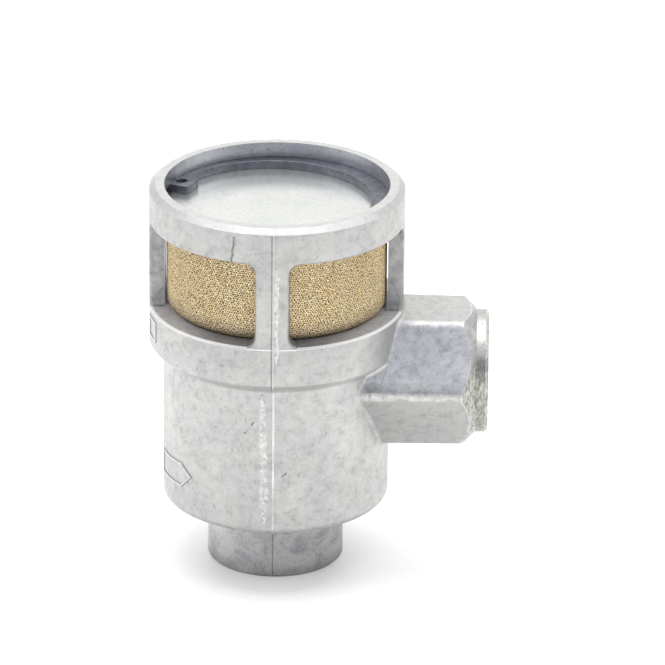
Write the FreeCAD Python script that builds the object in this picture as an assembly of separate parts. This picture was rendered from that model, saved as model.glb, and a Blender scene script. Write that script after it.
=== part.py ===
import FreeCAD, Part
import math
import os
from FreeCAD import Vector

# Quick exhaust valve with a built-in silencer, in millimetres. The origin is the centre of
# the inlet port's mouth, +Z runs up the valve's axis and +X points out of the outlet port.

# Ports, both with the same parallel pipe thread
thread_root_r = 10.48
port_mouth_r = 10.9
inlet_thread_length = 15.0
inlet_bore_r = 8.0
inlet_neck_wall = 3.7
inlet_neck_length = 13.95
outlet_thread_length = 16.0
outlet_bore_r = 8.5
outlet_reach = 17.8

# Outlet boss: a cast hexagon with a turned cone and spigot at its end
hex_across_flats = 27.5
hex_below_sill = 1.35
hex_draft = 0.77
hex_edge_round = 2.5
hex_cone_land = 0.87
hex_blend = 0.8
spigot_length = 2.6
spigot_chamfer = 0.7

# Valve chamber
chamber_r = 19.5
chamber_height = 33.1
floor_thickness = 6.05
body_wall = 4.06
seat_height = 4.0
seat_land = 1.5
seat_slope = 1.5

# Cage and rim round the silencer
ledge_width = 2.5
sleeve_land = 0.85
sleeve_clearance = 0.5
cage_wall = 3.15
sill_band_height = 8.5
flange_slope_height = 2.35
rib_width = 7.0
window_overlap = 0.8
window_corner_r = 2.2
window_edge_round = 0.6
rim_above_ring = 3.2
rim_chamfer_width = 1.3
rim_chamfer_height = 1.0

# Cast edges of the housing
neck_chamfer = 0.4
shoulder_round = 1.5
concave_round = 0.8
flange_round = 0.6
seam_width = 0.45
seam_proud = 0.2
seam_x = 0.3

# Exhaust seat, the insert with the nozzle
insert_flange_thickness = 4.0
insert_clearance = 0.1
nozzle_bore_r = 8.5
nozzle_wall = 2.0
nozzle_root_round = 1.5
nozzle_flare = 2.5
nozzle_seat_bevel = 0.7

# O-ring in the insert's rim
o_ring_section = 1.8
o_ring_squeeze = 0.35
o_ring_corner = 0.45
o_ring_groove_width = 2.6

# Valve seal, a cup whose lip points up
seal_travel = 3.4
seal_gap = 0.05
seal_thickness = 4.0
seal_disc_margin = 1.0
seal_lip_clearance = 0.2
seal_lip_rise = 6.0
seal_lip_edge = 1.4
seal_round = 0.4

# Silencer sleeve
silencer_height = 18.95
silencer_wall = 4.0
silencer_edge_round = 1.5

# Cover disc
disc_thickness = 2.0
disc_clearance = 0.15
disc_chamfer = 0.3

# Retaining ring, wide opposite its gap, with a pierced lug on each end
ring_thickness = 1.75
ring_groove_depth = 1.4
ring_groove_play = 0.1
ring_fit = 0.05
ring_width = 3.75
ring_eccentricity = 1.25
ring_gap_direction = 186.0
ring_gap_half_angle = 22.0
ring_lug_angle = 14.2
ring_lug_depth = 5.5
ring_lug_round = 0.8
ring_hole_r = 1.25
ring_hole_inset = 2.7

# How far a cutting form passes the face that it opens
cutter_overrun = 2.0

# Levels that follow from the sizes above
shoulder_z = inlet_neck_length
chamber_floor_z = shoulder_z + floor_thickness
seat_z = chamber_floor_z + seat_height
ledge_z = chamber_floor_z + chamber_height
sill_z = ledge_z + insert_flange_thickness
flange_z = sill_z - sill_band_height
silencer_top_z = sill_z + silencer_height
window_top_z = silencer_top_z - window_overlap
ring_z = silencer_top_z + disc_thickness
housing_top_z = ring_z + ring_thickness + rim_above_ring
outlet_z = sill_z - hex_below_sill - hex_across_flats / 2
seal_z = seat_z + seal_gap
nozzle_tip_z = seal_z + seal_thickness + seal_travel + seal_gap

# Radii that follow from the sizes above
inlet_neck_r = thread_root_r + inlet_neck_wall
body_r = chamber_r + body_wall
counterbore_r = chamber_r + ledge_width
insert_r = counterbore_r - insert_clearance
silencer_r = counterbore_r + sleeve_land
cage_bore_r = silencer_r + sleeve_clearance
cage_r = cage_bore_r + cage_wall
ring_groove_r = cage_bore_r + ring_groove_depth
spigot_r = hex_across_flats / 2 - hex_cone_land
outlet_face_x = cage_r + outlet_reach
nozzle_r = nozzle_bore_r + nozzle_wall
ring_r = ring_groove_r - ring_fit
ring_inner_r = ring_r - ring_width
ring_lug_inner_r = ring_r - ring_lug_depth
ring_hole_pitch_r = ring_r - ring_hole_inset

AXIS = Vector(0, 0, 1)
CENTRE = Vector(0, 0, 0)


def outline(corners):
    """Face in the XZ plane through corners (x, z, radius), each rounded by its radius."""
    points = [Vector(x, 0, z) for x, z, radius in corners]
    starts, middles, ends = [], [], []
    for i, corner in enumerate(points):
        radius = corners[i][2]
        back = (points[i - 1] - corner).normalize()
        ahead = (points[(i + 1) % len(points)] - corner).normalize()
        half_angle = back.getAngle(ahead) / 2
        reach = radius / math.tan(half_angle)
        inward = (back + ahead).normalize()
        centre_distance = radius / math.sin(half_angle)
        starts.append(corner + back * reach)
        ends.append(corner + ahead * reach)
        middles.append(corner + inward * (centre_distance - radius))
    edges = []
    for i, corner in enumerate(corners):
        if corner[2] > 0:
            edges.append(Part.Arc(starts[i], middles[i], ends[i]).toShape())
        following = starts[(i + 1) % len(points)]
        edges.append(Part.LineSegment(ends[i], following).toShape())
    return Part.Face(Part.Wire(edges))


def turned(corners):
    """Solid of revolution about the valve's axis."""
    return outline(corners).revolve(CENTRE, AXIS, 360)


def onto_outlet(shape):
    """Move a shape made about +Z, with its face at the origin, onto the outlet's axis."""
    shape.rotate(CENTRE, Vector(0, 1, 0), 90)
    shape.translate(Vector(outlet_face_x, 0, outlet_z))
    return shape


def port_cutter(thread_length):
    """Threaded hole that goes up from a mouth at the origin, with its countersink."""
    mouth_depth = port_mouth_r - thread_root_r
    return turned([
        (0, -cutter_overrun, 0),
        (port_mouth_r, -cutter_overrun, 0),
        (port_mouth_r, 0, 0),
        (thread_root_r, mouth_depth, 0),
        (thread_root_r, thread_length, 0),
        (0, thread_length, 0),
    ])


def housing_outside():
    """Turned outside form of the casting, from the inlet neck to the rim."""
    return turned([
        (0, 0, 0),
        (inlet_neck_r - neck_chamfer, 0, 0),
        (inlet_neck_r, neck_chamfer, 0),
        (inlet_neck_r, shoulder_z, concave_round),
        (body_r, shoulder_z, shoulder_round),
        (body_r, flange_z - flange_slope_height, concave_round),
        (cage_r, flange_z, flange_round),
        (cage_r, housing_top_z - rim_chamfer_height, 0),
        (cage_r - rim_chamfer_width, housing_top_z, 0),
        (0, housing_top_z, 0),
    ])


def seam():
    """Fine raised line that the parting of the mould left, at the front and the back."""
    edge = seam_proud
    reach_neck = inlet_neck_r + edge
    reach_body = body_r + edge
    reach_cage = cage_r + edge
    top = housing_top_z - rim_chamfer_height
    half = outline([
        (0, neck_chamfer, 0),
        (reach_neck, neck_chamfer, 0),
        (reach_neck, shoulder_z - edge, 0),
        (reach_body - shoulder_round, shoulder_z - edge, 0),
        (reach_body, shoulder_z - edge + shoulder_round, 0),
        (reach_body, flange_z - flange_slope_height - edge, 0),
        (reach_cage, flange_z - edge, 0),
        (reach_cage, top, 0),
        (0, top, 0),
    ])
    plates = []
    for turn in (90, 270):
        plate = half.extrude(Vector(0, seam_width, 0))
        plate.translate(Vector(0, -seam_width / 2, 0))
        plate.rotate(CENTRE, AXIS, turn)
        plate.translate(Vector(seam_x, 0, 0))
        plates.append(plate)
    return plates


def hexagon(across_flats, x):
    """Rounded hexagon at a distance x out along the outlet, with flats above and below."""
    corner_r = across_flats / math.sqrt(3)
    angles = [math.radians(60 * i) for i in range(6)]
    face = outline([(corner_r * math.cos(a), corner_r * math.sin(a), hex_edge_round) for a in angles])
    wire = face.OuterWire
    wire.rotate(CENTRE, AXIS, 90)
    wire.translate(Vector(x, 0, outlet_z))
    return wire


def outlet_boss():
    """Hexagonal boss, drafted from the valve's axis out, cut by the turned cone and spigot."""
    cast = Part.makeLoft([hexagon(hex_across_flats + hex_draft, 0),
                          hexagon(hex_across_flats, outlet_face_x)], True, True)
    cone_reach = hex_across_flats
    envelope_end = -spigot_length - cone_reach - outlet_face_x
    envelope = turned([
        (0, 0, 0),
        (spigot_r - spigot_chamfer, 0, 0),
        (spigot_r, -spigot_chamfer, 0),
        (spigot_r, -spigot_length, 0),
        (spigot_r + cone_reach, -spigot_length - cone_reach, 0),
        (spigot_r + cone_reach, envelope_end, 0),
        (0, envelope_end, 0),
    ])
    return cast.common(onto_outlet(envelope))


def housing_inside():
    """Everything that is bored out of the casting from above, down to the inlet thread."""
    groove_low = ring_z - ring_groove_play / 2
    groove_high = groove_low + ring_thickness + ring_groove_play
    return turned([
        (0, inlet_thread_length - cutter_overrun, 0),
        (inlet_bore_r, inlet_thread_length - cutter_overrun, 0),
        (inlet_bore_r, seat_z, 0),
        (inlet_bore_r + seat_land, seat_z, 0),
        (inlet_bore_r + seat_land + seat_slope, chamber_floor_z, 0),
        (chamber_r, chamber_floor_z, 0),
        (chamber_r, ledge_z, 0),
        (counterbore_r, ledge_z, 0),
        (counterbore_r, sill_z, 0),
        (cage_bore_r, sill_z, 0),
        (cage_bore_r, groove_low, 0),
        (ring_groove_r, groove_low, 0),
        (ring_groove_r, groove_high, 0),
        (cage_bore_r, groove_high, 0),
        (cage_bore_r, housing_top_z + cutter_overrun, 0),
        (0, housing_top_z + cutter_overrun, 0),
    ])


def window_cutters():
    """Four windows between parallel-sided ribs, with rounded corners on both of a rib's sides."""
    near = rib_width / 2
    far = cage_r + cutter_overrun
    frame = outline([
        (near, sill_z, window_corner_r),
        (far, sill_z, 0),
        (far, window_top_z, 0),
        (near, window_top_z, window_corner_r),
    ])
    along_y = frame.extrude(Vector(0, far, 0))
    along_x = frame.mirror(CENTRE, Vector(1, -1, 0)).extrude(Vector(far, 0, 0))
    window = along_y.common(along_x)
    cutters = []
    for quarter in range(4):
        cutter = window.copy()
        cutter.rotate(CENTRE, AXIS, 90 * quarter)
        cutters.append(cutter)
    return cutters


def window_rim_edges(shape):
    """Edges where the windows' sides meet the cage's outside."""
    found = []
    for edge in shape.Edges:
        middle = edge.valueAt((edge.FirstParameter + edge.LastParameter) / 2)
        on_cage = abs(math.hypot(middle.x, middle.y) - cage_r) < 0.01
        in_windows = sill_z - 0.01 < middle.z < window_top_z + 0.01
        at_side = min(abs(middle.x), abs(middle.y)) > rib_width / 2 - 0.01
        if on_cage and in_windows and at_side:
            found.append(edge)
    return found


def boss_root_edges(shape):
    """Edges where the outlet boss leaves the round body and the cage's band."""
    found = []
    for edge in shape.Edges:
        middle = edge.valueAt((edge.FirstParameter + edge.LastParameter) / 2)
        r = math.hypot(middle.x, middle.y)
        off_boss = math.hypot(middle.y, middle.z - outlet_z)
        on_body = body_r - 0.1 < r < cage_r + 0.1 and middle.x > body_r / 2
        on_boss = hex_across_flats / 2 - 0.1 < off_boss < hex_across_flats / math.sqrt(3) + hex_draft
        along_boss = abs(edge.tangentAt(edge.FirstParameter).x) > 0.999
        if on_body and on_boss and not along_boss:
            found.append(edge)
    return found


def housing():
    """The die casting, with its machined bores, groove and threads' root bores."""
    solid = housing_outside().fuse([outlet_boss()])
    solid = solid.makeFillet(hex_blend, boss_root_edges(solid))
    solid = solid.fuse(seam())
    solid = solid.cut(window_cutters())
    solid = solid.cut(housing_inside())
    solid = solid.makeFillet(window_edge_round, window_rim_edges(solid))
    outlet_bore = Part.makeCylinder(outlet_bore_r, outlet_face_x, CENTRE, Vector(1, 0, 0))
    outlet_bore.translate(Vector(0, 0, outlet_z))
    outlet_thread = port_cutter(outlet_thread_length)
    outlet_thread.rotate(CENTRE, Vector(1, 0, 0), 180)
    return solid.cut([port_cutter(inlet_thread_length), outlet_bore, onto_outlet(outlet_thread)])


def exhaust_seat():
    """Flanged insert whose tube ends in the seat that the seal closes from below."""
    groove_low = (ledge_z + sill_z - o_ring_groove_width) / 2
    groove_r = counterbore_r - (o_ring_section - o_ring_squeeze)
    return turned([
        (nozzle_bore_r, nozzle_tip_z, 0),
        (nozzle_r - nozzle_seat_bevel, nozzle_tip_z, 0),
        (nozzle_r, nozzle_tip_z + nozzle_seat_bevel, 0),
        (nozzle_r, ledge_z, nozzle_root_round),
        (insert_r, ledge_z, 0),
        (insert_r, groove_low, 0),
        (groove_r, groove_low, 0),
        (groove_r, groove_low + o_ring_groove_width, 0),
        (insert_r, groove_low + o_ring_groove_width, 0),
        (insert_r, sill_z, 0),
        (nozzle_bore_r + nozzle_flare, sill_z, 0),
        (nozzle_bore_r, sill_z - nozzle_flare, 0),
    ])


def seat_o_ring():
    """O-ring, flattened between its groove and the housing to the same section area."""
    height = o_ring_section - o_ring_squeeze
    round_area = math.pi * o_ring_section ** 2 / 4
    width = (round_area - math.pi * height ** 2 / 4) / height + height
    middle_z = (ledge_z + sill_z) / 2
    inner_r = counterbore_r - height
    low = middle_z - width / 2
    high = middle_z + width / 2
    return turned([
        (inner_r + o_ring_corner, low, 0),
        (counterbore_r - o_ring_corner, low, 0),
        (counterbore_r, low + o_ring_corner, 0),
        (counterbore_r, high - o_ring_corner, 0),
        (counterbore_r - o_ring_corner, high, 0),
        (inner_r + o_ring_corner, high, 0),
        (inner_r, high - o_ring_corner, 0),
        (inner_r, low + o_ring_corner, 0),
    ])


def valve_seal():
    """Cup seal: a thick disc with a thin lip that reaches up and out to the chamber's wall."""
    disc_r = nozzle_r + seal_disc_margin
    lip_r = chamber_r - seal_lip_clearance
    top = seal_z + seal_thickness
    return turned([
        (0, seal_z, 0),
        (disc_r, seal_z, seal_round),
        (lip_r, seal_z + seal_lip_rise - seal_lip_edge, 0),
        (lip_r, seal_z + seal_lip_rise, 0),
        (lip_r - seal_lip_edge / 2, seal_z + seal_lip_rise, 0),
        (disc_r + seal_disc_margin, top, seal_round),
        (0, top, 0),
    ])


def silencer():
    """Thick porous sleeve with a well rounded lower edge."""
    inner_r = silencer_r - silencer_wall
    return turned([
        (inner_r, sill_z, 0),
        (silencer_r, sill_z, silencer_edge_round),
        (silencer_r, silencer_top_z, 0),
        (inner_r, silencer_top_z, 0),
    ])


def cover_disc():
    """Flat disc that closes the silencer's top."""
    disc_r = cage_bore_r - disc_clearance
    return turned([
        (0, silencer_top_z, 0),
        (disc_r - disc_chamfer, silencer_top_z, 0),
        (disc_r, silencer_top_z + disc_chamfer, 0),
        (disc_r, ring_z - disc_chamfer, 0),
        (disc_r - disc_chamfer, ring_z, 0),
        (0, ring_z, 0),
    ])


def ring_lug(side):
    """Lug on one end of the retaining ring: side is -1 or 1 from the gap's middle."""
    width = 2 * ring_hole_pitch_r * math.sin(math.radians(ring_lug_angle / 2))
    length = ring_lug_depth - (ring_width - ring_eccentricity) / 2
    lug = Part.makeBox(length, width, ring_thickness, Vector(ring_lug_inner_r, -width / 2, ring_z))
    corners = []
    for edge in lug.Edges:
        upright = abs(edge.tangentAt(edge.FirstParameter).z) > 0.999
        at_tip = abs(edge.CenterOfMass.x - ring_lug_inner_r) < 0.01
        if upright and at_tip:
            corners.append(edge)
    lug = lug.makeFillet(ring_lug_round, corners)
    hole = Part.makeCylinder(ring_hole_r, ring_thickness, Vector(ring_hole_pitch_r, 0, ring_z))
    centre_angle = ring_gap_direction + side * (ring_gap_half_angle + ring_lug_angle / 2)
    for shape in (lug, hole):
        shape.rotate(CENTRE, AXIS, centre_angle)
    return lug, hole


def retaining_ring():
    """Stamped spring ring: an off-centre hole makes it widest opposite the gap."""
    blank = Part.makeCylinder(ring_r, ring_thickness, Vector(0, 0, ring_z))
    toward_gap = math.radians(ring_gap_direction)
    hole_centre = Vector(ring_eccentricity * math.cos(toward_gap),
                         ring_eccentricity * math.sin(toward_gap), ring_z)
    ring = blank.cut(Part.makeCylinder(ring_inner_r, ring_thickness, hole_centre))
    gap = Part.makeCylinder(2 * ring_r, ring_thickness, Vector(0, 0, ring_z), AXIS,
                            2 * ring_gap_half_angle)
    gap.rotate(CENTRE, AXIS, ring_gap_direction - ring_gap_half_angle)
    left_lug, left_hole = ring_lug(-1)
    right_lug, right_hole = ring_lug(1)
    return ring.cut(gap).fuse([left_lug, right_lug]).cut([left_hole, right_hole]).removeSplitter()


os.makedirs("parts", exist_ok=True)
for make in (housing, exhaust_seat, seat_o_ring, valve_seal, silencer, cover_disc, retaining_ring):
    shape = make()
    name = make.__name__
    shape.exportStep("parts/" + name + ".step")
    box = shape.BoundBox
    print(name, "solids", len(shape.Solids), "valid", shape.isValid(), "volume", round(shape.Volume, 1),
          "x", round(box.XMin, 2), round(box.XMax, 2), "y", round(box.YMin, 2), round(box.YMax, 2),
          "z", round(box.ZMin, 2), round(box.ZMax, 2))
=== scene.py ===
import bmesh
import bpy
import math
import random
from mathutils import Matrix, Vector


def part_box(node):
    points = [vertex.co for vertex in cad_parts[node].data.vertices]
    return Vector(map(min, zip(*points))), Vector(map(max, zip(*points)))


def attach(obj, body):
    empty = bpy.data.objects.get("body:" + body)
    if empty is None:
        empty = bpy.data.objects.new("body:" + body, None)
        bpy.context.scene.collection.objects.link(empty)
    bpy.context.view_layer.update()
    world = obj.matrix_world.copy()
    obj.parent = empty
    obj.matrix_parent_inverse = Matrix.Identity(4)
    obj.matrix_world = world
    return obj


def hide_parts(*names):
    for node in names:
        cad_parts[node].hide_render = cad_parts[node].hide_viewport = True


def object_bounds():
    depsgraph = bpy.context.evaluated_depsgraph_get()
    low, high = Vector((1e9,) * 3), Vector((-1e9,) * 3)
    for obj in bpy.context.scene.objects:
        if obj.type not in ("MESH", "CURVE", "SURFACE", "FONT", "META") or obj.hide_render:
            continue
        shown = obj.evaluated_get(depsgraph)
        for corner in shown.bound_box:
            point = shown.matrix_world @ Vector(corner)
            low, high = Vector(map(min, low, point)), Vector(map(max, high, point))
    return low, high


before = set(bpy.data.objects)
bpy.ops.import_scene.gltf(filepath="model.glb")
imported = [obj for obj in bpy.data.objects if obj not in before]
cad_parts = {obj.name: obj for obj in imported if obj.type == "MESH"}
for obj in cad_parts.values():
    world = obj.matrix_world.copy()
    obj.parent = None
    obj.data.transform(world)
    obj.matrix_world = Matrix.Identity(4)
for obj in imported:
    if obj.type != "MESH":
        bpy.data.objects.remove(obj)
cad_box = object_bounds()
MM = 0.001

# Sizes of the CAD frame that materials and pieces share
OUTLET_FACE_X = cad_box[1].x
TOP_Z = cad_box[1].z
CAGE_R = -cad_box[0].x
CAGE_BORE_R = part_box("cover_disc")[1].y + 0.15 * MM
SILL_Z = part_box("silencer")[0].z
WINDOW_TOP_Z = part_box("silencer")[1].z - 0.8 * MM
OUTLET_Z = 42.0 * MM
SHOULDER_Z = 13.95 * MM
FLANGE_Z = 48.6 * MM
NECK_R = 14.18 * MM
BODY_R = 23.56 * MM
SPIGOT_R = 12.88 * MM
SPIGOT_LENGTH = 2.6 * MM
THREAD_ROOT_R = 10.48 * MM
PORT_MOUTH_R = 10.9 * MM
SEAM_X = 0.3 * MM
EDGE_ROUND = 0.6 * MM
RAISED_HEIGHT = 0.24 * MM


def on_cylinder(degrees, radius, z):
    angle = math.radians(degrees)
    return Vector((radius * math.cos(angle), radius * math.sin(angle), z))


def add_camera():
    """Camera at the photograph's viewing angle, distance and framing."""
    azimuth, elevation, roll = (math.radians(a) for a in (2.08, 22.99, 0.33))
    distance, aim_right, aim_up = 1.325, 0.01167, 0.00349
    centre = Vector((0, 0, 0.04586))
    right = Vector((math.cos(azimuth), math.sin(azimuth), 0))
    back = Vector((math.sin(azimuth) * math.cos(elevation),
                   -math.cos(azimuth) * math.cos(elevation), math.sin(elevation)))
    up = back.cross(right)
    place = centre + back * distance
    target = centre + right * aim_right + up * aim_up
    z_axis = (place - target).normalized()
    x_axis = up.cross(z_axis).normalized()
    y_axis = z_axis.cross(x_axis)
    turn = Matrix((x_axis, y_axis, z_axis)).transposed() @ Matrix.Rotation(roll, 3, "Z")
    data = bpy.data.cameras.new("camera")
    data.lens = 344.1
    data.sensor_width = 36
    data.clip_start = 0.1
    data.clip_end = 10
    camera = bpy.data.objects.new("camera", data)
    camera.matrix_world = Matrix.Translation(place) @ turn.to_4x4()
    bpy.context.scene.collection.objects.link(camera)
    bpy.context.scene.camera = camera


add_camera()


# Node building
class Nodes:
    """Short calls for a material's or the world's nodes."""

    def __init__(self, tree):
        self.tree = tree
        self.tree.nodes.clear()

    def add(self, kind, settings=None, **inputs):
        node = self.tree.nodes.new(kind)
        for key, value in (settings or {}).items():
            setattr(node, key, value)
        for key, value in inputs.items():
            self.put(node, key.replace("_", " "), value)
        return node

    def put(self, node, key, value):
        """Links or sets an input by its name, or by its number as in i0."""
        by_number = key[0] == "i" and key[1:].isdigit()
        socket = node.inputs[int(key[1:])] if by_number else node.inputs[key]
        if isinstance(value, bpy.types.NodeSocket):
            self.tree.links.new(value, socket)
        else:
            socket.default_value = value

    def math(self, operation, a, b=None, clamp=False):
        node = self.add("ShaderNodeMath", {"operation": operation, "use_clamp": clamp}, i0=a)
        if b is not None:
            self.put(node, "i1", b)
        return node.outputs[0]

    def vector(self, operation, a, b=None):
        node = self.add("ShaderNodeVectorMath", {"operation": operation}, i0=a)
        if b is not None:
            self.put(node, "i3" if operation == "SCALE" else "i1", b)
        return node.outputs["Value" if operation in ("DOT_PRODUCT", "LENGTH") else "Vector"]

    def length(self, a, b):
        squares = self.math("ADD", self.math("MULTIPLY", a, a), self.math("MULTIPLY", b, b))
        return self.math("SQRT", squares)

    # Masks: 1 where the condition holds, and 0 elsewhere
    def above(self, value, limit):
        return self.math("GREATER_THAN", value, limit)

    def below(self, value, limit):
        return self.math("LESS_THAN", value, limit)

    def between(self, value, low, high):
        return self.math("MULTIPLY", self.above(value, low), self.below(value, high))

    def any_of(self, first, *masks):
        for mask in masks:
            first = self.math("MAXIMUM", first, mask)
        return first

    def all_of(self, first, *masks):
        for mask in masks:
            first = self.math("MULTIPLY", first, mask)
        return first

    def but_not(self, mask):
        return self.math("SUBTRACT", 1.0, mask)

    def mark(self, place, start, end, width):
        """1 near the line from start to end, and 0 from a width away."""
        run = end - start
        offset = self.vector("SUBTRACT", place, start)
        share = self.math("DIVIDE", self.vector("DOT_PRODUCT", offset, run), run.length_squared,
                          clamp=True)
        away = self.vector("SUBTRACT", offset, self.vector("SCALE", run, share))
        return self.ramp(self.math("DIVIDE", self.vector("LENGTH", away), width),
                         [(0.45, 1.0), (1.0, 0.0)])

    # Colours
    def ramp(self, value, stops):
        """Value or colour that follows stops of (position, value or colour)."""
        node = self.add("ShaderNodeValToRGB", i0=value)
        elements = node.color_ramp.elements
        while len(elements) < len(stops):
            elements.new(0.5)
        for element, (position, colour) in zip(elements, stops):
            element.position = position
            grey = isinstance(colour, (int, float))
            element.color = (colour, colour, colour, 1) if grey else (*colour, 1)
        return node.outputs[0]

    def mix(self, factor, a, b, blend="MIX"):
        node = self.add("ShaderNodeMix", {"data_type": "RGBA", "blend_type": blend})
        self.put(node, "i0", factor)
        for index, value in ((6, a), (7, b)):
            if not isinstance(value, bpy.types.NodeSocket) and len(value) == 3:
                value = (*value, 1)
            self.put(node, "i%d" % index, value)
        return node.outputs[2]

    def times(self, a, b):
        return self.mix(1.0, a, b, "MULTIPLY")

    def tint(self, mask, colour, factor):
        """The colour, multiplied by a factor where the mask is 1."""
        return self.times(colour, self.mix(mask, (1, 1, 1), factor))

    # Textures
    def noise(self, place, scale, detail=4.0, roughness=0.5, distortion=0.0):
        node = self.add("ShaderNodeTexNoise", Vector=place, Scale=scale, Detail=detail,
                        Roughness=roughness, Distortion=distortion)
        return node.outputs["Fac"]

    def vein(self, *settings):
        """0 along the winding lines where a noise is at its middle level."""
        return self.math("ABSOLUTE", self.math("SUBTRACT", self.noise(*settings), 0.5))

    def stretched(self, place, scale):
        return self.add("ShaderNodeMapping", Vector=place, Scale=scale).outputs[0]


def material(name):
    made = bpy.data.materials.new(name)
    made.use_nodes = True
    nodes = Nodes(made.node_tree)
    output = nodes.add("ShaderNodeOutputMaterial")
    shader = nodes.add("ShaderNodeBsdfPrincipled")
    nodes.put(output, "Surface", shader.outputs[0])
    place = nodes.add("ShaderNodeTexCoord").outputs["Object"]
    return made, nodes, shader, place


def bumped(nodes, shader, strength, distance, height):
    bump = nodes.add("ShaderNodeBump", Strength=strength, Distance=distance, Height=height)
    nodes.put(shader, "Normal", bump.outputs[0])


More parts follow.
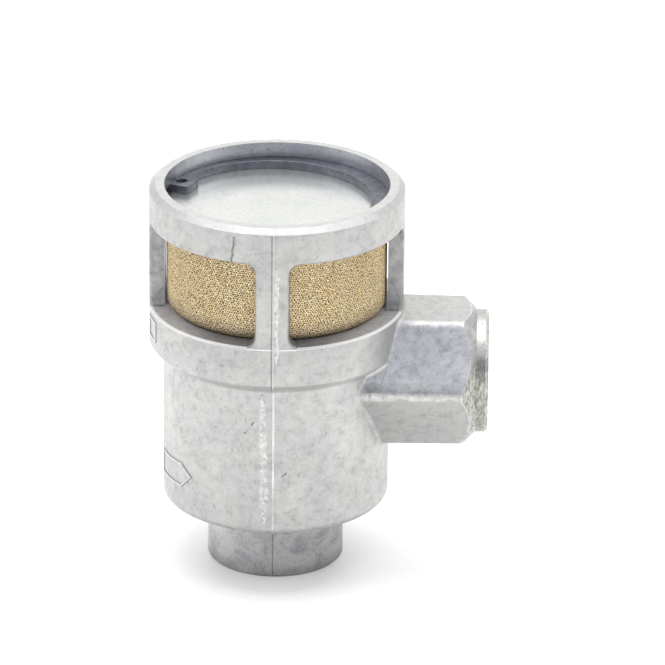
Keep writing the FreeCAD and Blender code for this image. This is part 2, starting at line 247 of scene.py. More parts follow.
class Casting:
    """Masks and colours of the cast housing, from where a point of it lies."""

    def __init__(self, nodes, place):
        self.nodes = nodes
        self.place = place
        self.x, self.y, self.z = nodes.add("ShaderNodeSeparateXYZ", Vector=place).outputs
        self.r = nodes.length(self.x, self.y)
        # Height above the outlet's axis, distance from it, and distance off the turned cone
        self.rise = nodes.math("SUBTRACT", self.z, OUTLET_Z)
        self.port_r = nodes.length(self.y, self.rise)
        self.off_cone = nodes.math("SUBTRACT", nodes.math("ADD", self.port_r, self.x),
                                   SPIGOT_R + OUTLET_FACE_X - SPIGOT_LENGTH)
        self.cloudy = nodes.noise(place, 520, 6, 0.66, 0.4)
        self.grain = nodes.noise(place, 1700, 3, 0.6)
        self.neck = nodes.all_of(nodes.below(self.z, SHOULDER_Z - 0.02 * MM),
                                 nodes.below(self.r, NECK_R + 0.3 * MM))

    def plain(self):
        """Skin with stains, pits and hairline marks, duller on the cage than on the body."""
        nodes, place = self.nodes, self.place
        warmth = nodes.ramp(nodes.noise(place, 130, 2, 0.5), [(0.35, 0.0), (0.65, 1.0)])
        skin = nodes.mix(warmth, (0.535, 0.536, 0.538), (0.562, 0.561, 0.538))
        for level, stops in ((nodes.noise(place, 70, 3, 0.55), [(0.3, 0.93), (0.7, 1.04)]),
                             (self.cloudy, [(0.33, 0.84), (0.46, 0.97), (0.7, 1.05)]),
                             (self.grain, [(0.26, 0.70), (0.38, 0.98), (0.7, 1.04)])):
            skin = nodes.times(skin, nodes.ramp(level, stops))
        patchy = nodes.ramp(nodes.noise(place, 160, 3), [(0.50, 0.0), (0.58, 1.0)])
        hair = nodes.ramp(nodes.vein(place, 210, 3, 0.6, 1.6), [(0.0, 1.0), (0.012, 0.0)])
        skin = nodes.mix(nodes.all_of(patchy, hair), skin, nodes.times(skin, (0.74, 0.74, 0.75)))
        height = nodes.math("DIVIDE", self.z, 100 * MM)
        return nodes.times(skin, nodes.ramp(height, [(0.46, 1.0), (0.58, 0.89)]))

    def painted_light_under_flange(self, skin):
        """Cone under the flange: painted lighter, to lift the shade that its reflection of the
        nearby floor gives it.
        """
        nodes = self.nodes
        cone = nodes.all_of(nodes.between(self.r, BODY_R + 0.1 * MM, CAGE_R - 0.03 * MM),
                            nodes.between(self.z, FLANGE_Z - 4 * MM, FLANGE_Z + 0.1 * MM))
        return nodes.tint(cone, skin, (1.16, 1.16, 1.16))

    def neck_blotch_and_shade(self, skin):
        """Neck: blotched and veined, and painted darker as shade from the floor's contact shadow
        that it reflects.
        """
        nodes = self.nodes
        blotch_and_shade = nodes.ramp(nodes.noise(self.place, 190, 5, 0.6, 0.8),
                            [(0.38, (0.37, 0.37, 0.39)), (0.56, (0.50, 0.50, 0.50))])
        # Painted shade towards the neck's foot, and painted light towards its left side
        up = nodes.math("DIVIDE", self.z, 3 * MM)
        lit_from_left = nodes.math("SUBTRACT", 0.5, nodes.math("DIVIDE", self.x, 2 * NECK_R))
        for level, stops in ((nodes.vein(self.place, 170, 4, 0.6, 1.2), [(0.0, 0.82), (0.02, 1.0)]),
                             (up, [(0.0, 0.7), (1.0, 1.0)]),
                             (lit_from_left, [(0.45, 0.94), (1.0, 1.3)]),
                             (self.grain, [(0.3, 0.8), (0.5, 1.0)])):
            blotch_and_shade = nodes.times(blotch_and_shade, nodes.ramp(level, stops))
        return nodes.mix(self.neck, skin, blotch_and_shade)

    def window_shade_and_highlight(self, skin):
        """Window sides: painted darker and mottled as shade in the recess, with a painted highlight
        along the sill's outer edge.
        """
        nodes = self.nodes
        sides = nodes.all_of(nodes.between(self.r, CAGE_BORE_R + 0.05 * MM, CAGE_R - 0.04 * MM),
                             nodes.between(self.z, SILL_Z - 0.05 * MM, WINDOW_TOP_Z + 0.05 * MM))
        # Painted shade on the window sides, with mottle
        recess_shade = nodes.ramp(nodes.noise(self.place, 350, 4, 0.6),
                          [(0.35, (0.60, 0.60, 0.63)), (0.65, (0.84, 0.84, 0.86))])
        # Painted highlight along the sill's rounded outer edge
        past_edge = nodes.math("SUBTRACT", nodes.math("ADD", self.r, self.z),
                               CAGE_R + SILL_Z - EDGE_ROUND)
        sill_edge_highlight = nodes.all_of(nodes.between(past_edge, 0.05 * MM, 0.3 * MM),
                              nodes.between(self.z, SILL_Z - EDGE_ROUND, SILL_Z - 0.01 * MM))
        return nodes.mix(sill_edge_highlight, nodes.tint(sides, skin, recess_shade), (0.74, 0.74, 0.735))

    def boss_light_and_shade(self, skin):
        """Outlet boss: painted light on its upper part, and painted shade along its upper front
        flat's lower edge.
        """
        nodes = self.nodes
        # Painted light: the boss's upper part lighter
        upper = nodes.all_of(nodes.above(self.r, CAGE_R + 0.3 * MM), nodes.above(self.x, 22 * MM),
                             nodes.above(self.rise, 1.0 * MM))
        skin = nodes.tint(upper, skin, (1.22, 1.22, 1.22))
        flat_r = nodes.math("ADD", nodes.math("MULTIPLY", self.y, -math.cos(math.pi / 6)),
                            nodes.math("MULTIPLY", self.rise, math.sin(math.pi / 6)))
        off_flange = nodes.any_of(nodes.above(self.r, CAGE_R + 0.1 * MM),
                                  nodes.below(self.z, FLANGE_Z - 3 * MM))
        on_flat = nodes.all_of(nodes.between(flat_r, 13.1 * MM, 14.2 * MM),
                               nodes.above(self.x, 19 * MM),
                               nodes.above(self.r, BODY_R + 0.6 * MM), off_flange)
        # Painted shade and dark reflection along the flat's lower edge, fading upward, with mottle
        over_edge = nodes.math("SUBTRACT", self.rise, 0.9 * MM)
        low_edge_shade = nodes.ramp(nodes.math("DIVIDE", over_edge, 3 * MM),
                              [(0.0, (1, 1, 1)), (0.06, (0.66, 0.66, 0.68)),
                               (0.3, (0.82, 0.82, 0.85)), (0.75, (0.95, 0.95, 1.0))])
        low_edge_shade = nodes.times(low_edge_shade, nodes.ramp(self.cloudy, [(0.36, 0.95), (0.6, 1.2)]))
        return nodes.tint(on_flat, skin, low_edge_shade)

    def seam_highlight_and_shade(self, skin):
        """Parting line at the front: a painted highlight on its crest, and painted shade along its
        left side.
        """
        nodes = self.nodes
        at_front = nodes.below(self.y, -10 * MM)
        off_seam = nodes.math("SUBTRACT", self.x, SEAM_X)
        on_body = nodes.between(self.z, SHOULDER_Z, FLANGE_Z - 2 * MM)
        crest = nodes.all_of(at_front, nodes.between(off_seam, -0.2 * MM, 0.24 * MM))
        # Painted shade left of the seam: a dark line at its foot off the body, and a faint strip on
        # the body
        foot = nodes.all_of(at_front, nodes.between(off_seam, -0.5 * MM, -0.2 * MM),
                            nodes.but_not(on_body))
        seam_side_shade = nodes.all_of(at_front, nodes.between(off_seam, -1.8 * MM, -0.2 * MM), on_body)
        skin = nodes.tint(seam_side_shade, skin, (0.97, 0.97, 0.975))
        skin = nodes.mix(foot, skin, nodes.times(skin, (0.62, 0.62, 0.63)))
        # Painted highlight along the crest, strongest on the body
        along = nodes.noise(nodes.stretched(self.place, (300, 300, 120)), 1, 3)
        crest_highlight = nodes.all_of(crest, nodes.ramp(along, [(0.36, 0.25), (0.56, 1.0)]),
                             nodes.mix(on_body, (0.3, 0.3, 0.3), (1, 1, 1)),
                             nodes.but_not(self.neck))
        return nodes.mix(crest_highlight, skin, (0.80, 0.80, 0.79))

    def scars(self):
        """Mask of a crack in the rim, and of a scratch and a nick in the body."""
        nodes = self.nodes
        ragged = nodes.add("ShaderNodeTexNoise", Vector=self.place, Scale=900, Detail=3)
        ragged = nodes.vector("SUBTRACT", ragged.outputs["Color"], (0.5, 0.5, 0.5))
        ragged = nodes.vector("ADD", self.place, nodes.vector("SCALE", ragged, 1.0 * MM))
        marks = [nodes.mark(ragged, on_cylinder(*start), on_cylinder(*end), width)
                 for start, end, width in (
                     ((252.9, CAGE_R, 81 * MM), (251.6, CAGE_R, 75.5 * MM), 0.3 * MM),
                     ((256.3, BODY_R, 36.4 * MM), (260.6, BODY_R, 39.2 * MM), 0.2 * MM),
                     ((275.6, BODY_R, 27.1 * MM), (276.8, BODY_R, 27.9 * MM), 0.36 * MM))]
        broken = nodes.ramp(nodes.noise(self.place, 700, 2), [(0.33, 0.3), (0.45, 1.0)])
        return nodes.all_of(nodes.any_of(*marks), broken)

    def cone_edge_highlight(self, skin):
        """Painted highlight: a bright line where the turned cone cuts the cast hexagon."""
        nodes = self.nodes
        edge = nodes.all_of(nodes.between(self.off_cone, -0.4 * MM, -0.06 * MM),
                            nodes.above(self.x, 38 * MM),
                            nodes.above(self.port_r, SPIGOT_R + 0.5 * MM),
                            nodes.ramp(self.cloudy, [(0.4, 0.2), (0.6, 1.0)]))
        return nodes.mix(edge, skin, (0.80, 0.80, 0.79))

    def outlet_end(self, on_cone):
        """Colour of the spigot and the cone: clean above, and streaked below with painted shade, as
        the dark reflection of the shaded floor under the boss.
        """
        nodes = self.nodes
        chipped = nodes.ramp(nodes.noise(self.place, 2600, 2, 0.5), [(0.33, 0.4), (0.40, 1.0)])
        face = nodes.times((0.56, 0.56, 0.54), chipped)
        cone = nodes.times((0.46, 0.46, 0.455),
                           nodes.ramp(self.cloudy, [(0.34, 0.72), (0.6, 1.1)]))
        face = nodes.mix(on_cone, face, cone)
        # Streaks, darkened below the boundary by painted shade
        streaks = nodes.noise(nodes.stretched(self.place, (3500, 900, 900)), 1, 3, 0.6)
        streaks_and_shade = nodes.ramp(streaks, [(0.3, (0.15, 0.15, 0.13)), (0.5, (0.34, 0.34, 0.31)),
                                     (0.72, (0.56, 0.56, 0.53))])
        height = nodes.math("ADD", nodes.math("DIVIDE", self.rise, 1 * MM),
                            nodes.math("MULTIPLY", self.grain, 3.0))
        shaded_below = nodes.ramp(nodes.math("SUBTRACT", height, 8.0), [(0.0, 1.0), (1.0, 0.0)])
        return nodes.mix(shaded_below, face, streaks_and_shade)

    def machined(self):
        """Mask and colour of the faces that are turned or bored into the casting."""
        nodes = self.nodes
        in_cage = nodes.all_of(nodes.below(self.r, CAGE_BORE_R + 0.05 * MM),
                               nodes.above(self.z, SHOULDER_Z + 0.5 * MM))
        in_inlet = nodes.below(self.r, PORT_MOUTH_R + 0.05 * MM)
        in_outlet = nodes.all_of(nodes.below(self.port_r, PORT_MOUTH_R + 0.05 * MM),
                                 nodes.above(self.x, 17 * MM))
        on_spigot = nodes.above(self.x, OUTLET_FACE_X - SPIGOT_LENGTH - 0.03 * MM)
        on_cone = nodes.all_of(nodes.below(nodes.math("ABSOLUTE", self.off_cone), 0.06 * MM),
                               nodes.above(self.x, CAGE_R))
        on_rim = nodes.above(self.z, TOP_Z - 1.03 * MM)
        turned = nodes.any_of(in_cage, in_inlet, in_outlet, on_spigot, on_cone, on_rim)

        bright = nodes.times((0.68, 0.68, 0.67),
                             nodes.ramp(self.cloudy, [(0.32, 0.86), (0.55, 1.0)]))
        bright = nodes.mix(nodes.any_of(on_spigot, on_cone), bright, self.outlet_end(on_cone))
        rim_chamfer = nodes.all_of(on_rim, nodes.below(self.z, TOP_Z - 0.03 * MM))
        bright = nodes.times(bright, nodes.mix(rim_chamfer, (1.08, 1.08, 1.08), (0.88, 0.88, 0.89)))
        # Bore wall painted darker and cooler than the other turned faces, as shade inside the bore
        cage_wall = nodes.all_of(in_cage, nodes.below(self.z, TOP_Z - 0.05 * MM))
        wall = nodes.ramp(self.cloudy, [(0.3, (0.46, 0.475, 0.52)), (0.7, (0.60, 0.61, 0.64))])
        wall = nodes.times(wall, nodes.ramp(self.grain, [(0.3, 0.7), (0.45, 1.0)]))
        return turned, nodes.mix(cage_wall, bright, wall)

    def sill(self):
        """Mask and colour of the windows' flat sills, with stains and painted shade that is darkest
        at the front and back.
        """
        nodes = self.nodes
        off_sill = nodes.math("ABSOLUTE", nodes.math("SUBTRACT", self.z, SILL_Z))
        flat = nodes.all_of(nodes.below(off_sill, 0.03 * MM),
                            nodes.between(self.r, 18 * MM, CAGE_R))
        stain_and_shade = nodes.ramp(self.cloudy, [(0.35, (0.48, 0.485, 0.52)), (0.65, (0.66, 0.66, 0.68))])
        # Painted shade, darkest where the sill lies at the front and back
        sideways = nodes.math("DIVIDE", nodes.math("ABSOLUTE", self.x), 20 * MM)
        stain_and_shade = nodes.times(stain_and_shade, nodes.ramp(sideways, [(0.37, 0.38), (0.57, 0.46),
                                                             (0.75, 0.64), (0.95, 0.82)]))
        return flat, stain_and_shade


def cast_aluminium():
    """Die-cast skin, with brighter turned faces where the casting is machined."""
    made, nodes, shader, place = material("cast_housing_look")
    casting = Casting(nodes, place)
    skin = casting.plain()
    for dressed in (casting.painted_light_under_flange, casting.neck_blotch_and_shade, casting.window_shade_and_highlight,
                    casting.boss_light_and_shade, casting.seam_highlight_and_shade):
        skin = dressed(skin)
    scars = casting.scars()
    skin = casting.cone_edge_highlight(nodes.mix(scars, skin, (0.21, 0.21, 0.215)))
    turned, bright = casting.machined()
    sill, stain_and_shade = casting.sill()
    nodes.put(shader, "Base Color", nodes.mix(sill, nodes.mix(turned, skin, bright), stain_and_shade))
    nodes.put(shader, "Metallic", nodes.mix(sill, (0.93, 0.93, 0.93), (0.15, 0.15, 0.15)))
    rough_cast = nodes.ramp(casting.cloudy, [(0.3, 0.56), (0.7, 0.43)])
    nodes.put(shader, "Roughness", nodes.mix(turned, rough_cast, (0.35, 0.35, 0.35)))
    height = nodes.math("ADD", nodes.math("MULTIPLY", casting.cloudy, 0.5),
                        nodes.math("MULTIPLY", casting.grain, 0.5))
    lathe = nodes.noise(nodes.stretched(place, (5000, 60, 60)), 1, 2)
    height = nodes.mix(turned, height, nodes.math("MULTIPLY", lathe, 0.25))
    height = nodes.math("SUBTRACT", height, nodes.math("MULTIPLY", scars, 0.6))
    bumped(nodes, shader, 0.32, 0.0004, height)
    return made


def rubbed_aluminium():
    """Bright ragged burr of the parting line."""
    made, nodes, shader, place = material("parting_burr_look")
    cloudy = nodes.noise(place, 900, 4, 0.65)
    speck = nodes.noise(place, 2800, 2)
    colour = nodes.ramp(cloudy, [(0.36, (0.50, 0.50, 0.50)), (0.64, (0.70, 0.70, 0.69))])
    colour = nodes.times(colour, nodes.ramp(speck, [(0.32, 0.5), (0.41, 1.0)]))
    nodes.put(shader, "Base Color", colour)
    shader.inputs["Metallic"].default_value = 0.9
    nodes.put(shader, "Roughness", nodes.ramp(cloudy, [(0.3, 0.5), (0.7, 0.36)]))
    bumped(nodes, shader, 0.3, 0.0003, cloudy)
    return made


def raised_aluminium():
    """Raised casting line, on the body or the cage, with painted shade at its foot."""
    made, nodes, shader, place = material("raised_line_look")
    x, y, _ = nodes.add("ShaderNodeSeparateXYZ", Vector=place).outputs
    centre_r = nodes.length(x, y)
    off_body, off_cage = (
        nodes.math("ABSOLUTE", nodes.math("DIVIDE", nodes.math("SUBTRACT", centre_r, radius),
                                          RAISED_HEIGHT))
        for radius in (BODY_R, CAGE_R))
    # Painted shade along the raised line's foot
    above_foot = nodes.ramp(nodes.math("MINIMUM", off_body, off_cage), [(0.3, 0.0), (0.85, 1.0)])
    cloudy = nodes.noise(place, 900, 4, 0.6)
    crest = nodes.ramp(cloudy, [(0.3, (0.55, 0.55, 0.55)), (0.7, (0.69, 0.69, 0.68))])
    nodes.put(shader, "Base Color", nodes.mix(above_foot, (0.27, 0.27, 0.27), crest))
    shader.inputs["Metallic"].default_value = 0.93
    nodes.put(shader, "Roughness", nodes.ramp(cloudy, [(0.3, 0.55), (0.7, 0.42)]))
    bumped(nodes, shader, 0.2, 0.0003, cloudy)
    return made


def sintered_bronze():
    """Bronze beads with pores between them painted dark as shade, and painted shade towards the
    sleeve's foot.
    """
    made, nodes, shader, place = material("sintered_bronze_look")
    pores = nodes.add("ShaderNodeAttribute", {"attribute_name": "pore"}).outputs["Fac"]
    broad = nodes.noise(place, 200, 3)
    bead = nodes.noise(place, 2200, 2)
    colour = nodes.ramp(broad, [(0.3, (0.98, 0.75, 0.41)), (0.7, (1.0, 0.83, 0.52))])
    colour = nodes.times(colour, nodes.ramp(bead, [(0.3, 0.70), (0.7, 1.14)]))
    # Painted shade in the pores between the beads
    pore_shade = nodes.ramp(pores, [(0.12, 0.0), (0.38, 1.0)])
    colour = nodes.mix(pore_shade, colour, (0.08, 0.045, 0.014))
    z = nodes.add("ShaderNodeSeparateXYZ", Vector=place).outputs[2]
    # Painted shade towards the sleeve's foot, cooler in tone
    above_foot = nodes.math("DIVIDE", nodes.math("SUBTRACT", z, SILL_Z), 4 * MM)
    ragged = nodes.math("MULTIPLY", nodes.math("SUBTRACT", broad, 0.5), 0.8)
    foot_shade = nodes.ramp(nodes.math("ADD", above_foot, ragged),
                      [(0.0, (0.84, 0.83, 0.90)), (0.4, (0.76, 0.76, 0.84)), (1.0, (1, 1, 1))])
    nodes.put(shader, "Base Color", nodes.times(colour, foot_shade))
    shader.inputs["Metallic"].default_value = 0.45
    nodes.put(shader, "Roughness", nodes.ramp(bead, [(0.3, 0.5), (0.7, 0.36)]))
    return made


def bright_disc():
    made, nodes, shader, place = material("bright_disc_look")
    mottle = nodes.noise(place, 900, 5, 0.7)
    cloudy = nodes.noise(place, 150, 4, 0.6)
    grain = nodes.noise(place, 1800, 3, 0.6)
    scratches = nodes.noise(nodes.stretched(place, (250, 3500, 250)), 1, 3)
    colour = nodes.ramp(cloudy, [(0.3, (0.80, 0.82, 0.80)), (0.7, (0.87, 0.88, 0.86))])
    colour = nodes.times(colour, nodes.ramp(mottle, [(0.32, 0.94), (0.5, 1.0)]))
    colour = nodes.times(colour, nodes.ramp(grain, [(0.3, 0.93), (0.6, 1.0)]))
    nodes.put(shader, "Base Color", colour)
    shader.inputs["Metallic"].default_value = 0.85
    nodes.put(shader, "Roughness", nodes.ramp(cloudy, [(0.3, 0.25), (0.7, 0.16)]))
    height = nodes.math("ADD", scratches, nodes.math("MULTIPLY", grain, 0.5))
    bumped(nodes, shader, 0.02, 0.0002, height)
    return made


def ring_steel():
    made, nodes, shader, place = material("ring_steel_look")
    cloudy = nodes.noise(place, 500, 4, 0.6)
    grain = nodes.noise(place, 2500, 3, 0.6)
    colour = nodes.ramp(cloudy, [(0.3, (0.15, 0.155, 0.18)), (0.7, (0.24, 0.245, 0.28))])
    colour = nodes.times(colour, nodes.ramp(grain, [(0.3, 0.8), (0.7, 1.15)]))
    nodes.put(shader, "Base Color", colour)
    shader.inputs["Metallic"].default_value = 0.85
    nodes.put(shader, "Roughness", nodes.ramp(cloudy, [(0.3, 0.46), (0.7, 0.34)]))
    bumped(nodes, shader, 0.1, 0.0002, grain)
    return made


def turned_brass():
    made, nodes, shader, place = material("turned_brass_look")
    cloudy = nodes.noise(place, 300, 4, 0.6)
    rings = nodes.noise(nodes.stretched(place, (30, 30, 9000)), 1, 2)
    nodes.put(shader, "Base Color",
              nodes.ramp(cloudy, [(0.3, (0.58, 0.42, 0.19)), (0.7, (0.72, 0.55, 0.28))]))
    shader.inputs["Metallic"].default_value = 1.0
    nodes.put(shader, "Roughness", nodes.ramp(cloudy, [(0.3, 0.34), (0.7, 0.24)]))
    bumped(nodes, shader, 0.12, 0.0002, rings)
    return made


def seal_rubber():
    made, nodes, shader, place = material("seal_rubber_look")
    cloudy = nodes.noise(place, 700, 4, 0.6)
    nodes.put(shader, "Base Color",
              nodes.ramp(cloudy, [(0.3, (0.018, 0.018, 0.019)), (0.7, (0.034, 0.034, 0.035))]))
    nodes.put(shader, "Roughness", nodes.ramp(cloudy, [(0.3, 0.62), (0.7, 0.5)]))
    bumped(nodes, shader, 0.15, 0.0002, cloudy)
    return made


CAST = cast_aluminium()
BRASS = turned_brass()
RUBBER = seal_rubber()
DISC = bright_disc()
BRONZE = sintered_bronze()
STEEL = ring_steel()
BURR = rubbed_aluminium()
RAISED = raised_aluminium()
for node, look in (("housing", CAST), ("exhaust_seat", BRASS), ("seat_o_ring", RUBBER),
                   ("cover_disc", DISC), ("valve_seal", RUBBER)):
    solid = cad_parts[node]
    solid.data.materials.clear()
    solid.data.materials.append(look)


def piece(name, points, faces, look):
    """New smooth mesh piece in the row frame, in metres, that rides on the valve's body."""
    mesh = bpy.data.meshes.new(name)
    mesh.from_pydata(points, [], faces)
    mesh.polygons.foreach_set("use_smooth", [True] * len(mesh.polygons))
    mesh.materials.append(look)
    mesh.validate()
    made = bpy.data.objects.new(name, mesh)
    bpy.context.scene.collection.objects.link(made)
    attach(made, "valve_body")
    return made


def closed(made):
    """Points the faces of a closed piece outward, with its real corners kept sharp."""
    solid = bmesh.new()
    solid.from_mesh(made.data)
    bmesh.ops.recalc_face_normals(solid, faces=solid.faces)
    solid.to_mesh(made.data)
    solid.free()
    made.data.set_sharp_from_angle(angle=math.radians(50))


# Sintered sleeve: a skin of small beads with pores between them
def silencer_sleeve():
    low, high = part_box("silencer")
    outer_r = high.x
    bottom, top = low.z, high.z
    wall, corner, bead = 4.0 * MM, 1.5 * MM, 0.52 * MM
    jitter = 0.39
    inner_r = outer_r - wall
    straight = top - bottom - corner
    length = straight + corner * math.pi / 2
    columns = round(2 * math.pi * outer_r / bead)
    rows = round(length / (bead * math.sqrt(3) / 2))
    chance = random.Random(11)

    def on_profile(along, depth):
        """Radius and height at a distance along the profile from the top, and a depth below it."""
        if along <= straight:
            return outer_r - depth, top - along
        angle = (along - straight) / corner
        reach = corner - depth
        return outer_r - corner + reach * math.cos(angle), bottom + corner - reach * math.sin(angle)

    def at(u, v, depth):
        """Point at a column u and a row v of the beads, and a depth below the skin."""
        r, z = on_profile(min(v * length / rows, length), depth)
        angle = 2 * math.pi * u / columns
        return (r * math.cos(angle), r * math.sin(angle), z)

    points, pores, faces = [], [], []
    centres = {}
    for j in range(rows + 1):
        at_end = j in (0, rows)
        for i in range(columns):
            u = i + (j % 2) / 2 + (0 if at_end else chance.uniform(-jitter, jitter))
            v = j + (0 if at_end else chance.uniform(-jitter, jitter))
            centres[i, j] = (len(points), u, v)
            points.append(at(u, v, 0.1 * MM if at_end else 0))
            pores.append(0.0)

    def bead_at(i, j):
        """A bead's point number, column and row, with the column running on past a turn."""
        index, u, v = centres[i % columns, j]
        return index, u + (i - i % columns), v

    saddles = {}

    def saddle(a, b):
        """Number of the low point between two beads."""
        key = (min(a[0], b[0]), max(a[0], b[0]))
        if key not in saddles:
            saddles[key] = len(points)
            points.append(at((a[1] + b[1]) / 2, (a[2] + b[2]) / 2, chance.uniform(0.09, 0.17) * MM))
            pores.append(chance.uniform(0.1, 0.4))
        return saddles[key]

    def bead_triangle(a, b, c, open_pore):
        """Faces between three beads, down to the pore in their middle."""
        deep = 0.7 + 0.3 * chance.random() if open_pore else 0.3 * chance.random()
        middle = len(points)
        points.append(at((a[1] + b[1] + c[1]) / 3, (a[2] + b[2] + c[2]) / 3,
                         (0.2 + 0.2 * deep) * MM))
        pores.append(deep)
        ab, bc, ca = saddle(a, b), saddle(b, c), saddle(c, a)
        rim = (a[0], ab, b[0], bc, c[0], ca)
        for first, second in zip(rim, rim[1:] + rim[:1]):
            faces.append((first, second, middle))

    for j in range(rows):
        for i in range(columns):
            upper, upper_next = bead_at(i, j), bead_at(i + 1, j)
            lower, lower_next = bead_at(i, j + 1), bead_at(i + 1, j + 1)
            if j % 2:
                bead_triangle(upper, lower, lower_next, True)
                bead_triangle(upper, lower_next, upper_next, False)
            else:
                bead_triangle(upper, lower, upper_next, False)
                bead_triangle(upper_next, lower, lower_next, True)

    def end_row(j):
        """Beads of the first or last row, with the saddles between them."""
        row = []
        for i in range(columns):
            bead_here, bead_next = bead_at(i, j), bead_at(i + 1, j)
            row += [bead_here[0], saddle(bead_here, bead_next)]
        return row

    def plain_ring(r, z, shift):
        """Smooth edge of the sleeve's bore."""
        first = len(points)
        for i in range(2 * columns):
            angle = 2 * math.pi * (i / 2 + shift) / columns
            points.append((r * math.cos(angle), r * math.sin(angle), z))
            pores.append(0.5)
        return [first + i for i in range(2 * columns)]

    rings = [end_row(rows), plain_ring(inner_r, bottom, (rows % 2) / 2),
             plain_ring(inner_r, top, 0), end_row(0)]
    for lower, upper in zip(rings, rings[1:]):
        for i in range(len(lower)):
            following = (i + 1) % len(lower)
            faces.append((lower[i], upper[i], upper[following], lower[following]))
    sleeve = piece("silencer_sleeve", points, faces, BRONZE)
    attribute = sleeve.data.attributes.new("pore", "FLOAT", "POINT")
    attribute.data.foreach_set("value", pores)
    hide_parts("silencer")


silencer_sleeve()


# Retaining ring, with its stamped edges rounded
def retaining_ring():
    low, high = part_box("retaining_ring")
    ring_r, edge = high.x, 0.14 * MM
    inner_r, lug_r = ring_r - 3.75 * MM, ring_r - 5.5 * MM
    hole_pitch_r, hole_r = ring_r - 2.7 * MM, 1.25 * MM
    eccentricity, lug_corner = 1.25 * MM, 0.8 * MM
    gap, lug_angle, turn = math.radians(22), math.radians(14.2), math.radians(186)
    half_width = hole_pitch_r * math.sin(lug_angle / 2)
    middle = gap + lug_angle / 2
    along = Vector((math.cos(middle), math.sin(middle)))
    across = Vector((-math.sin(middle), math.cos(middle)))

    def arc(centre, radius, start, end, steps):
        return [Vector((centre[0] + radius * math.cos(start + (end - start) * k / steps),
                        centre[1] + radius * math.sin(start + (end - start) * k / steps)))
                for k in range(steps + 1)]

    def lug_tip():
        """From the gap's end round the lug to the ring's inner edge, on one side of the gap."""
        points = [along * (hole_pitch_r * math.cos(lug_angle / 2)) - across * half_width]
        for side in (-1, 1):
            centre = along * (lug_r + lug_corner) + across * side * (half_width - lug_corner)
            start = middle + (math.pi * 3 / 2 if side < 0 else math.pi)
            points += arc(centre, lug_corner, start, start - math.pi / 2, 5)
        foot = across * half_width - Vector((eccentricity, 0))
        reach = foot.dot(along)
        out = -reach + math.sqrt(reach * reach - foot.length_squared + inner_r * inner_r)
        points.append(across * half_width + along * out)
        return points

    tip = lug_tip()
    start = math.atan2(tip[-1].y, tip[-1].x - eccentricity)
    mirrored = [Vector((point.x, -point.y)) for point in tip]
    outline = arc((0, 0), ring_r, gap, 2 * math.pi - gap, 150) + mirrored
    outline += arc((eccentricity, 0), inner_r, 2 * math.pi - start, start, 130)[1:-1] + tip[::-1]
    rims = [outline]
    for side in (-1, 1):
        centre = Vector((along.x, side * along.y)) * hole_pitch_r
        rims.append(arc(centre, hole_r, 0, 2 * math.pi, 32)[:-1])

    curve = bpy.data.curves.new("retaining_ring_outline", "CURVE")
    curve.dimensions = "2D"
    curve.fill_mode = "BOTH"
    curve.extrude = (high.z - low.z) / 2 - edge
    curve.bevel_depth = edge
    curve.bevel_resolution = 2
    curve.offset = -edge
    for rim in rims:
        spline = curve.splines.new("POLY")
        spline.points.add(len(rim) - 1)
        for point, corner_point in zip(spline.points, rim):
            point.co = (corner_point.x, corner_point.y, 0, 1)
        spline.use_cyclic_u = True
    drawn = bpy.data.objects.new("retaining_ring_outline", curve)
    mesh = bpy.data.meshes.new_from_object(drawn)
    bpy.data.objects.remove(drawn)
    to_place = Matrix.Translation((0, 0, (high.z + low.z) / 2)) @ Matrix.Rotation(turn, 4, "Z")
    mesh.transform(to_place)
    clean = bmesh.new()
    clean.from_mesh(mesh)
    bmesh.ops.remove_doubles(clean, verts=clean.verts, dist=0.001 * MM)
    bmesh.ops.recalc_face_normals(clean, faces=clean.faces)
    points = [vertex.co.copy() for vertex in clean.verts]
    faces = [[vertex.index for vertex in face.verts] for face in clean.faces]
    clean.free()
    made = piece("retaining_ring_dressed", points, faces, STEEL)
    made.data.set_sharp_from_angle(angle=math.radians(35))
    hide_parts("retaining_ring")


retaining_ring()


# Pipe threads in both ports
def thread(name, place, end):
    """Helical ridge on a bore: place turns a radius, an angle and a depth into a point."""
    start, pitch, depth, embed = 0.4 * MM, 1.814 * MM, 1.162 * MM, 0.05 * MM
    foot, steps, run_out_turns = 0.46, 40, 0.6
    # Ridge's section: shares of the pitch across it, and heights above the bore
    section = ((-foot, -embed), (-0.40, 0.0), (-0.11, 0.92 * depth), (-0.045, depth),
               (0.045, depth), (0.11, 0.92 * depth), (0.40, 0.0), (foot, -embed))
    turns = (end - start) / pitch - 2 * foot
    count = round(turns * steps)
    points, faces = [], []
    for k in range(count + 1):
        run_out = min(1.0, k / (run_out_turns * steps), (count - k) / (run_out_turns * steps))
        middle = start + (foot + k / steps) * pitch
        for across, height in section:
            height = height * run_out if height > 0 else height
            points.append(place(THREAD_ROOT_R - height, 2 * math.pi * k / steps,
                                middle + across * pitch))
    size = len(section)
    for k in range(count):
        for i in range(size):
            here, there = k * size + i, k * size + (i + 1) % size
            faces.append((here, there, there + size, here + size))
    faces.append(tuple(range(size))[::-1])
    faces.append(tuple(count * size + i for i in range(size)))
    closed(piece(name, points, faces, CAST))


def in_inlet(r, angle, depth):
    return (r * math.cos(angle), r * math.sin(angle), depth)


def in_outlet(r, angle, depth):
    return (OUTLET_FACE_X - depth, r * math.cos(angle), OUTLET_Z - r * math.sin(angle))


thread("inlet_thread", in_inlet, 14.9 * MM)
thread("outlet_thread", in_outlet, 15.9 * MM)


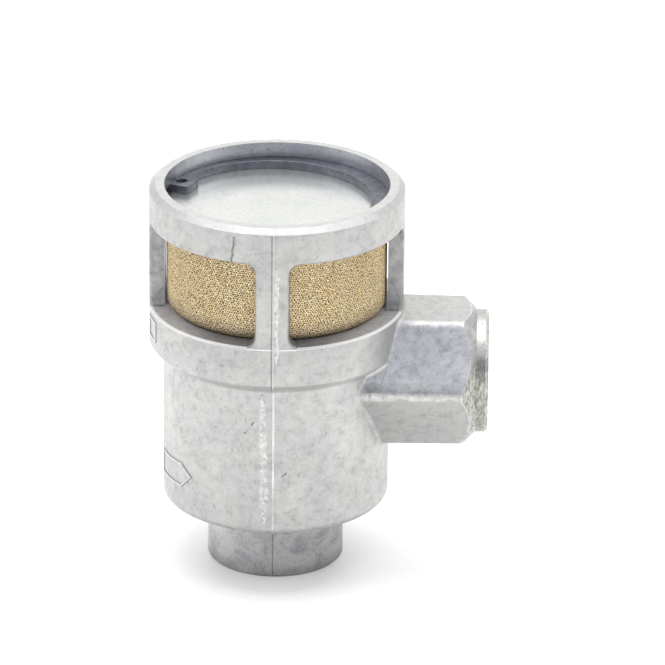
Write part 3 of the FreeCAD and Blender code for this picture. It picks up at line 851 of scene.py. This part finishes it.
# Raised casting details on the outside
def burr(name, radius, low, high, half_width, height, seed):
    """Ragged strip of flash on the front of a cylinder, from low (x, z) to high (x, z)."""
    chance = random.Random(seed)
    (low_x, low_z), (high_x, high_z) = low, high
    rows, columns = round((high_z - low_z) / (0.22 * MM)), 9
    wander, swell = 0.0, 0.0
    top, bottom = [], []
    for i in range(rows + 1):
        share = i / rows
        wander = 0.85 * wander + chance.uniform(-0.05, 0.05) * MM
        swell = 0.7 * swell + chance.uniform(-0.22, 0.22)
        z = low_z + (high_z - low_z) * share
        middle = low_x + (high_x - low_x) * share + wander
        tapered = min(1.0, 0.3 + 6 * share, 0.3 + 6 * (1 - share))
        reach = half_width * max(0.6, 1 + swell) * tapered
        lumps = max(0.35, min(1.0, 0.7 + swell))
        for j in range(columns):
            side = 2 * j / (columns - 1) - 1
            x = middle + side * reach
            if abs(side) == 1 or i in (0, rows):
                rise = -0.04 * MM
            else:
                rise = height * lumps * chance.uniform(0.35, 1.0) * (1 - side ** 4)
            for points, r in ((top, radius + rise), (bottom, radius - 0.12 * MM)):
                points.append((x, -math.sqrt(r * r - x * x), z))
    size = len(top)
    faces = []

    def index(i, j):
        return i * columns + j

    for i in range(rows):
        for j in range(columns - 1):
            quad = (index(i, j), index(i, j + 1), index(i + 1, j + 1), index(i + 1, j))
            faces.append(quad)
            faces.append(tuple(size + corner for corner in quad[::-1]))
    rim = [index(0, j) for j in range(columns)]
    rim += [index(i, columns - 1) for i in range(1, rows + 1)]
    rim += [index(rows, j) for j in range(columns - 2, -1, -1)]
    rim += [index(i, 0) for i in range(rows - 1, 0, -1)]
    for here, there in zip(rim, rim[1:] + rim[:1]):
        faces.append((there, here, size + here, size + there))
    closed(piece(name, top + bottom, faces, BURR))


burr("rib_burr", CAGE_R, (0.85 * MM, 53.4 * MM), (0.85 * MM, 75 * MM),
     half_width=0.6 * MM, height=0.17 * MM, seed=3)
burr("body_burr", BODY_R, (-1.45 * MM, 16.2 * MM), (-2.05 * MM, 45.6 * MM),
     half_width=0.72 * MM, height=0.2 * MM, seed=8)


def raised_outline(name, radius, corners):
    """Raised line round a closed shape on a cylinder: corners are (degrees, millimetres up)."""
    width, sunk, steps = 0.75 * MM, 0.08 * MM, 10
    flat = [Vector((math.radians(degrees) * radius, z * MM)) for degrees, z in corners]
    count = len(flat)

    def offset(distance):
        moved = []
        for k in range(count):
            before = (flat[k] - flat[k - 1]).normalized()
            after = (flat[(k + 1) % count] - flat[k]).normalized()
            normal = Vector((before.y + after.y, -before.x - after.x))
            moved.append(flat[k] + normal * (2 * distance / normal.length_squared))
        return moved

    lines = [(offset(width / 2), -sunk), (offset(width / 4), RAISED_HEIGHT),
             (offset(-width / 4), RAISED_HEIGHT), (offset(-width / 2), -sunk)]
    points, faces = [], []
    for k in range(count):
        for step in range(steps):
            for line, rise in lines:
                spot = line[k].lerp(line[(k + 1) % count], step / steps)
                angle, r = spot.x / radius, radius + rise
                points.append((r * math.cos(angle), r * math.sin(angle), spot.y))
    total, size = count * steps, len(lines)
    for k in range(total):
        ahead = size * ((k + 1) % total)
        for i in range(size):
            following = (i + 1) % size
            faces.append((size * k + i, size * k + following, ahead + following, ahead + i))
    closed(piece(name, points, faces, RAISED))


raised_outline("flow_arrow", BODY_R,
               [(191.5, 19.9), (215.9, 20.5), (223.3, 23.4), (215.9, 25.4), (191.5, 24.7)])
raised_outline("flange_box", CAGE_R - 0.02 * MM,
               [(191.5, 51.2), (201.5, 51.2), (201.5, 55.2), (191.5, 55.2)])


# Floor, world and lamps
def light_paths(nodes):
    """The light path node, and 1 for the rays that show or mirror a surface."""
    paths = nodes.add("ShaderNodeLightPath")
    return paths, nodes.any_of(*(paths.outputs[kind] for kind in (
        "Is Camera Ray", "Is Glossy Ray", "Is Transmission Ray")))


def add_floor():
    mesh = bpy.data.meshes.new("floor")
    half = 3.0
    mesh.from_pydata([(-half, -half, 0), (half, -half, 0), (half, half, 0), (-half, half, 0)],
                     [], [(0, 1, 2, 3)])
    floor = bpy.data.objects.new("floor", mesh)
    bpy.context.scene.collection.objects.link(floor)
    made = bpy.data.materials.new("floor_look")
    made.use_nodes = True
    nodes = Nodes(made.node_tree)
    place = nodes.add("ShaderNodeTexCoord").outputs["Object"]
    tone = nodes.ramp(nodes.noise(place, 8), [(0.3, 0.80), (0.7, 0.82)])
    paths, seen = light_paths(nodes)
    diffuse = nodes.add("ShaderNodeBsdfDiffuse", Color=tone)

    def painted_shadow_level(shift, stops):
        """Level that follows the distance from a point in front of the valve's axis, low near it to
        paint a shadow round the valve.
        """
        away = nodes.vector("LENGTH", nodes.vector("ADD", place, shift))
        return nodes.ramp(nodes.math("DIVIDE", away, 300 * MM), stops)

    # Painted shadow: the floor glows less near the valve, for the camera and in reflections
    mirrored = painted_shadow_level((0, 0.03, 0), [(0.08, 0.05), (0.15, 0.31), (0.25, 0.50), (0.6, 0.55)])
    direct = painted_shadow_level((0, 0.01, 0), [(0.037, 0.10), (0.047, 0.18), (0.06, 0.25), (0.073, 0.30),
                                        (0.10, 0.32), (0.15, 0.38), (0.25, 0.50), (0.6, 0.55)])
    level = nodes.mix(paths.outputs["Is Camera Ray"], mirrored, direct)
    glow_with_painted_shadow = nodes.add("ShaderNodeEmission", Strength=nodes.math("MULTIPLY", seen, level))
    both = nodes.add("ShaderNodeAddShader", i0=diffuse.outputs[0], i1=glow_with_painted_shadow.outputs[0])
    nodes.add("ShaderNodeOutputMaterial", Surface=both.outputs[0])
    mesh.materials.append(made)


def add_world():
    """White studio, with a cooler shade above the front that only reflections show."""
    world = bpy.data.worlds.new("studio")
    bpy.context.scene.world = world
    world.use_nodes = True
    nodes = Nodes(world.node_tree)
    paths, seen = light_paths(nodes)
    direction = nodes.add("ShaderNodeTexCoord").outputs["Generated"]
    _, y, z = nodes.add("ShaderNodeSeparateXYZ", Vector=direction).outputs
    front = nodes.ramp(nodes.math("MULTIPLY", y, -1.0), [(0.15, 0.0), (0.75, 1.0)])
    upper = nodes.ramp(z, [(0.0, 0.0), (0.15, 1.0)])
    shade = nodes.all_of(front, upper, paths.outputs["Is Glossy Ray"])
    colour = nodes.mix(shade, (1.0, 1.0, 1.0), (0.50, 0.52, 0.58))
    strength = nodes.ramp(seen, [(0.0, 0.97), (1.0, 1.0)])
    background = nodes.add("ShaderNodeBackground", Color=colour, Strength=strength)
    nodes.add("ShaderNodeOutputWorld", Surface=background.outputs[0])


def lamp(name, place, size, power):
    """Square lamp that points at the valve's middle."""
    data = bpy.data.lights.new(name, "AREA")
    data.shape = "SQUARE"
    data.size = size
    data.energy = power
    made = bpy.data.objects.new(name, data)
    made.location = place
    to_lamp = Vector(place) - Vector((0, 0, 0.04))
    made.rotation_euler = to_lamp.to_track_quat("Z", "Y").to_euler()
    bpy.context.scene.collection.objects.link(made)


add_floor()
add_world()
lamp("left", (-0.6, -0.1, 0.6), 0.6, 0.8)
lamp("right", (0.65, 0.0, 0.6), 0.6, 0.7)
lamp("top", (0.0, 0.2, 0.95), 0.7, 3.0)
bpy.context.scene.view_settings.view_transform = "Standard"


def corners(box):
    return [[float(number) for number in corner] for corner in box]
